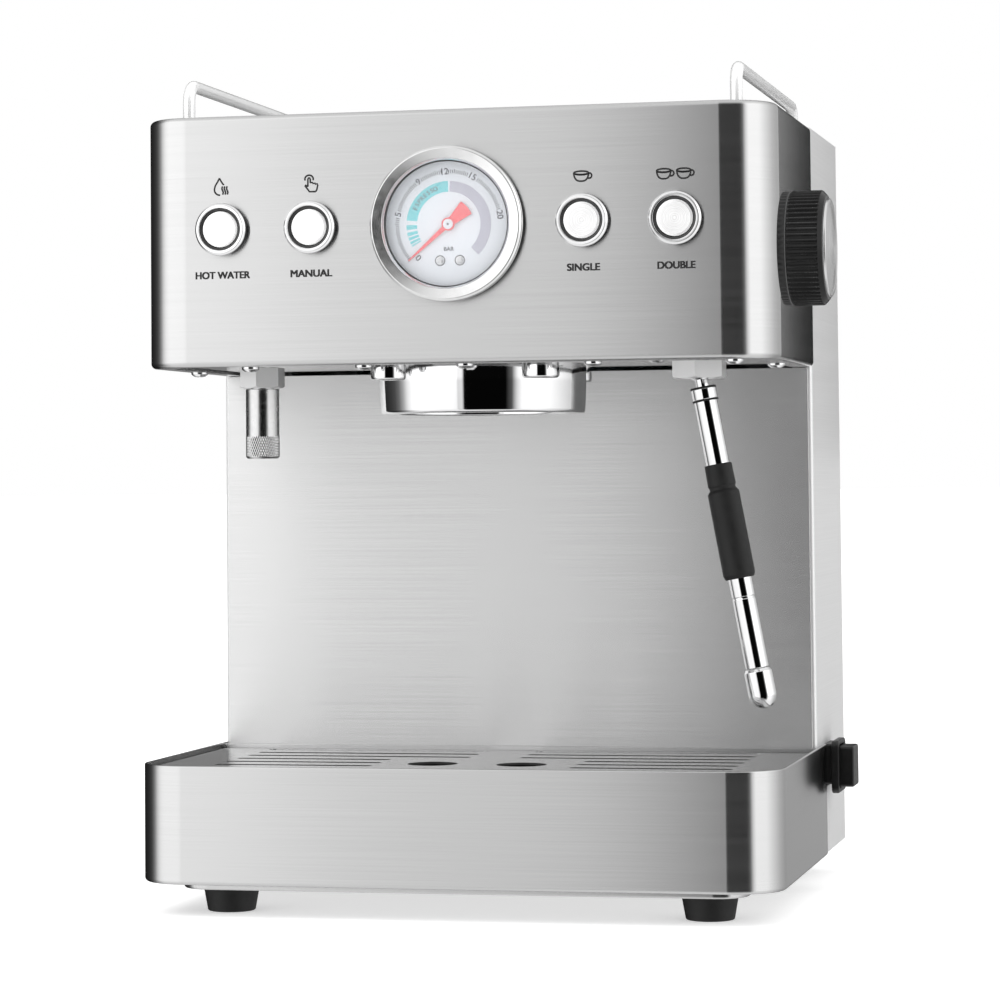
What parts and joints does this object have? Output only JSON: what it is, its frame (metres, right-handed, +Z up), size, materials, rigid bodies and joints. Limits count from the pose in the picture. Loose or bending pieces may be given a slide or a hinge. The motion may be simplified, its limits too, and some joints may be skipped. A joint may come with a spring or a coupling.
{
  "type": "espresso machine",
  "caption": "Box-shaped steel espresso machine with a pressure gauge, push buttons, steam knob, swivelling steam wand, drip tray and lift-out water tank.",
  "frame": {"origin": "middle of the overall footprint, on the table", "axes": "+X to the right seen from the front, +Y to the back, +Z up"},
  "size_m": [0.3024, 0.2374, 0.3661],
  "materials": {
    "brushed_steel": "fine horizontal brushing, satin",
    "chrome": "mirror polished",
    "black_plastic": "fine satin texture",
    "black_rubber": "matt",
    "cast_aluminium": "as cast, slightly rough",
    "brass": "machined",
    "clear_glass": "clear, polished",
    "clear_tank": "smoke-clear moulded plastic",
    "dial_face": "printed pale dial",
    "needle_red": "painted red",
    "circuit_board": "solder mask",
    "silicone_hose": "translucent silicone"
  },
  "bodies": {
    "machine": {"head_shell": "brushed_steel", "head_under_plate": "brushed_steel", "top_cover": "brushed_steel", "side_panel_left": "brushed_steel", "side_panel_right": "brushed_steel", "rear_panel": "brushed_steel", "splash_plate": "brushed_steel", "base_shell": "brushed_steel", "floor_plate": "brushed_steel", "hot_water_nut": "brushed_steel", "wand_block": "brushed_steel", "shower_screen": "brushed_steel", "steam_pipe": "brushed_steel", "wand_pipe": "brushed_steel", "hot_water_pipe": "brushed_steel", "cup_rail_left": "chrome", "cup_rail_right": "chrome", "gauge_bezel": "chrome", "group_collar": "chrome", "hot_water_spout": "chrome", "button_bezel_hot_water": "chrome", "button_bezel_manual": "chrome", "button_bezel_single_cup": "chrome", "button_bezel_double_cup": "chrome", "knob_collar": "black_plastic", "power_switch_body": "black_plastic", "mains_inlet": "black_plastic", "foot_front_left": "black_rubber", "foot_front_right": "black_rubber", "foot_rear_left": "black_rubber", "foot_rear_right": "black_rubber", "group_gasket": "black_rubber", "tank_seat": "black_rubber", "pump_mount": "black_rubber", "boiler": "cast_aluminium", "pump": "cast_aluminium", "gauge_case": "cast_aluminium", "tank_shelf": "cast_aluminium", "brew_pipe": "cast_aluminium", "steam_valve": "brass", "gauge_lens": "clear_glass", "gauge_dial": "dial_face", "control_board": "circuit_board", "suction_hose": "silicone_hose"},
    "water_tank": {"water_tank": "clear_tank"},
    "tank_lid": {"tank_lid": "black_plastic"},
    "drip_basin": {"drip_basin": "black_plastic"},
    "drip_grate": {"drip_grate": "brushed_steel"},
    "wand_swivel": {"wand_socket": "black_plastic"},
    "steam_wand": {"wand_tube": "chrome", "wand_grip": "black_rubber", "wand_tip": "chrome"},
    "steam_knob": {"steam_knob": "black_plastic", "knob_cap": "chrome"},
    "gauge_needle": {"gauge_needle": "needle_red"},
    "power_button": {"power_button": "black_plastic"},
    "button_hot_water": {"button_cap_hot_water": "brushed_steel"},
    "button_manual": {"button_cap_manual": "brushed_steel"},
    "button_single_cup": {"button_cap_single_cup": "brushed_steel"},
    "button_double_cup": {"button_cap_double_cup": "brushed_steel"}
  },
  "joints": [
    {"name": "press_hot_water", "type": "slide", "parent": "machine", "child": "button_hot_water", "axis": [0, 1, 0], "range_m": [0, 0.0025], "stiffness_N_per_m": 600, "springref_m": -0.002},
    {"name": "press_manual", "type": "slide", "parent": "machine", "child": "button_manual", "axis": [0, 1, 0], "range_m": [0, 0.0025], "stiffness_N_per_m": 600, "springref_m": -0.002},
    {"name": "press_single_cup", "type": "slide", "parent": "machine", "child": "button_single_cup", "axis": [0, 1, 0], "range_m": [0, 0.0025], "stiffness_N_per_m": 600, "springref_m": -0.002},
    {"name": "press_double_cup", "type": "slide", "parent": "machine", "child": "button_double_cup", "axis": [0, 1, 0], "range_m": [0, 0.0025], "stiffness_N_per_m": 600, "springref_m": -0.002},
    {"name": "steam_knob_turn", "type": "hinge", "parent": "machine", "child": "steam_knob", "pos_m": [0.13965, -0.076, 0.2852], "axis": [1, 0, 0], "range_deg": [0, 270]},
    {"name": "needle_turn", "type": "hinge", "parent": "machine", "child": "gauge_needle", "pos_m": [-0.01035, -0.1095, 0.297], "axis": [0, 1, 0], "range_deg": [0, 212], "stiffness_Nm_per_rad": 0.0004, "springref_deg": -28.65},
    {"name": "wand_turn", "type": "hinge", "parent": "machine", "child": "wand_swivel", "pos_m": [0.08805, -0.0495, 0.2355], "axis": [0, 0, 1], "range_deg": [-110, 20]},
    {"name": "wand_tilt", "type": "hinge", "parent": "wand_swivel", "child": "steam_wand", "pos_m": [0.08805, -0.0495, 0.2355], "axis": [0, -1, 0], "range_deg": [-20, 20]},
    {"name": "basin_lift", "type": "slide", "parent": "machine", "child": "drip_basin", "axis": [0, 0, 1], "range_m": [0, 0.008]},
    {"name": "grate_lift", "type": "slide", "parent": "drip_basin", "child": "drip_grate", "axis": [0, 0, 1], "range_m": [0, 0.014]},
    {"name": "tank_lift", "type": "slide", "parent": "machine", "child": "water_tank", "axis": [0, 0, 1], "range_m": [0, 0.25]},
    {"name": "lid_turn", "type": "hinge", "parent": "water_tank", "child": "tank_lid", "pos_m": [-0.01035, 0.1075, 0.3506], "axis": [-1, 0, 0], "range_deg": [0, 100]},
    {"name": "press_power", "type": "slide", "parent": "machine", "child": "power_button", "axis": [-1, 0, 0], "range_m": [0, 0.002], "stiffness_N_per_m": 900, "springref_m": -0.002}
  ]
}
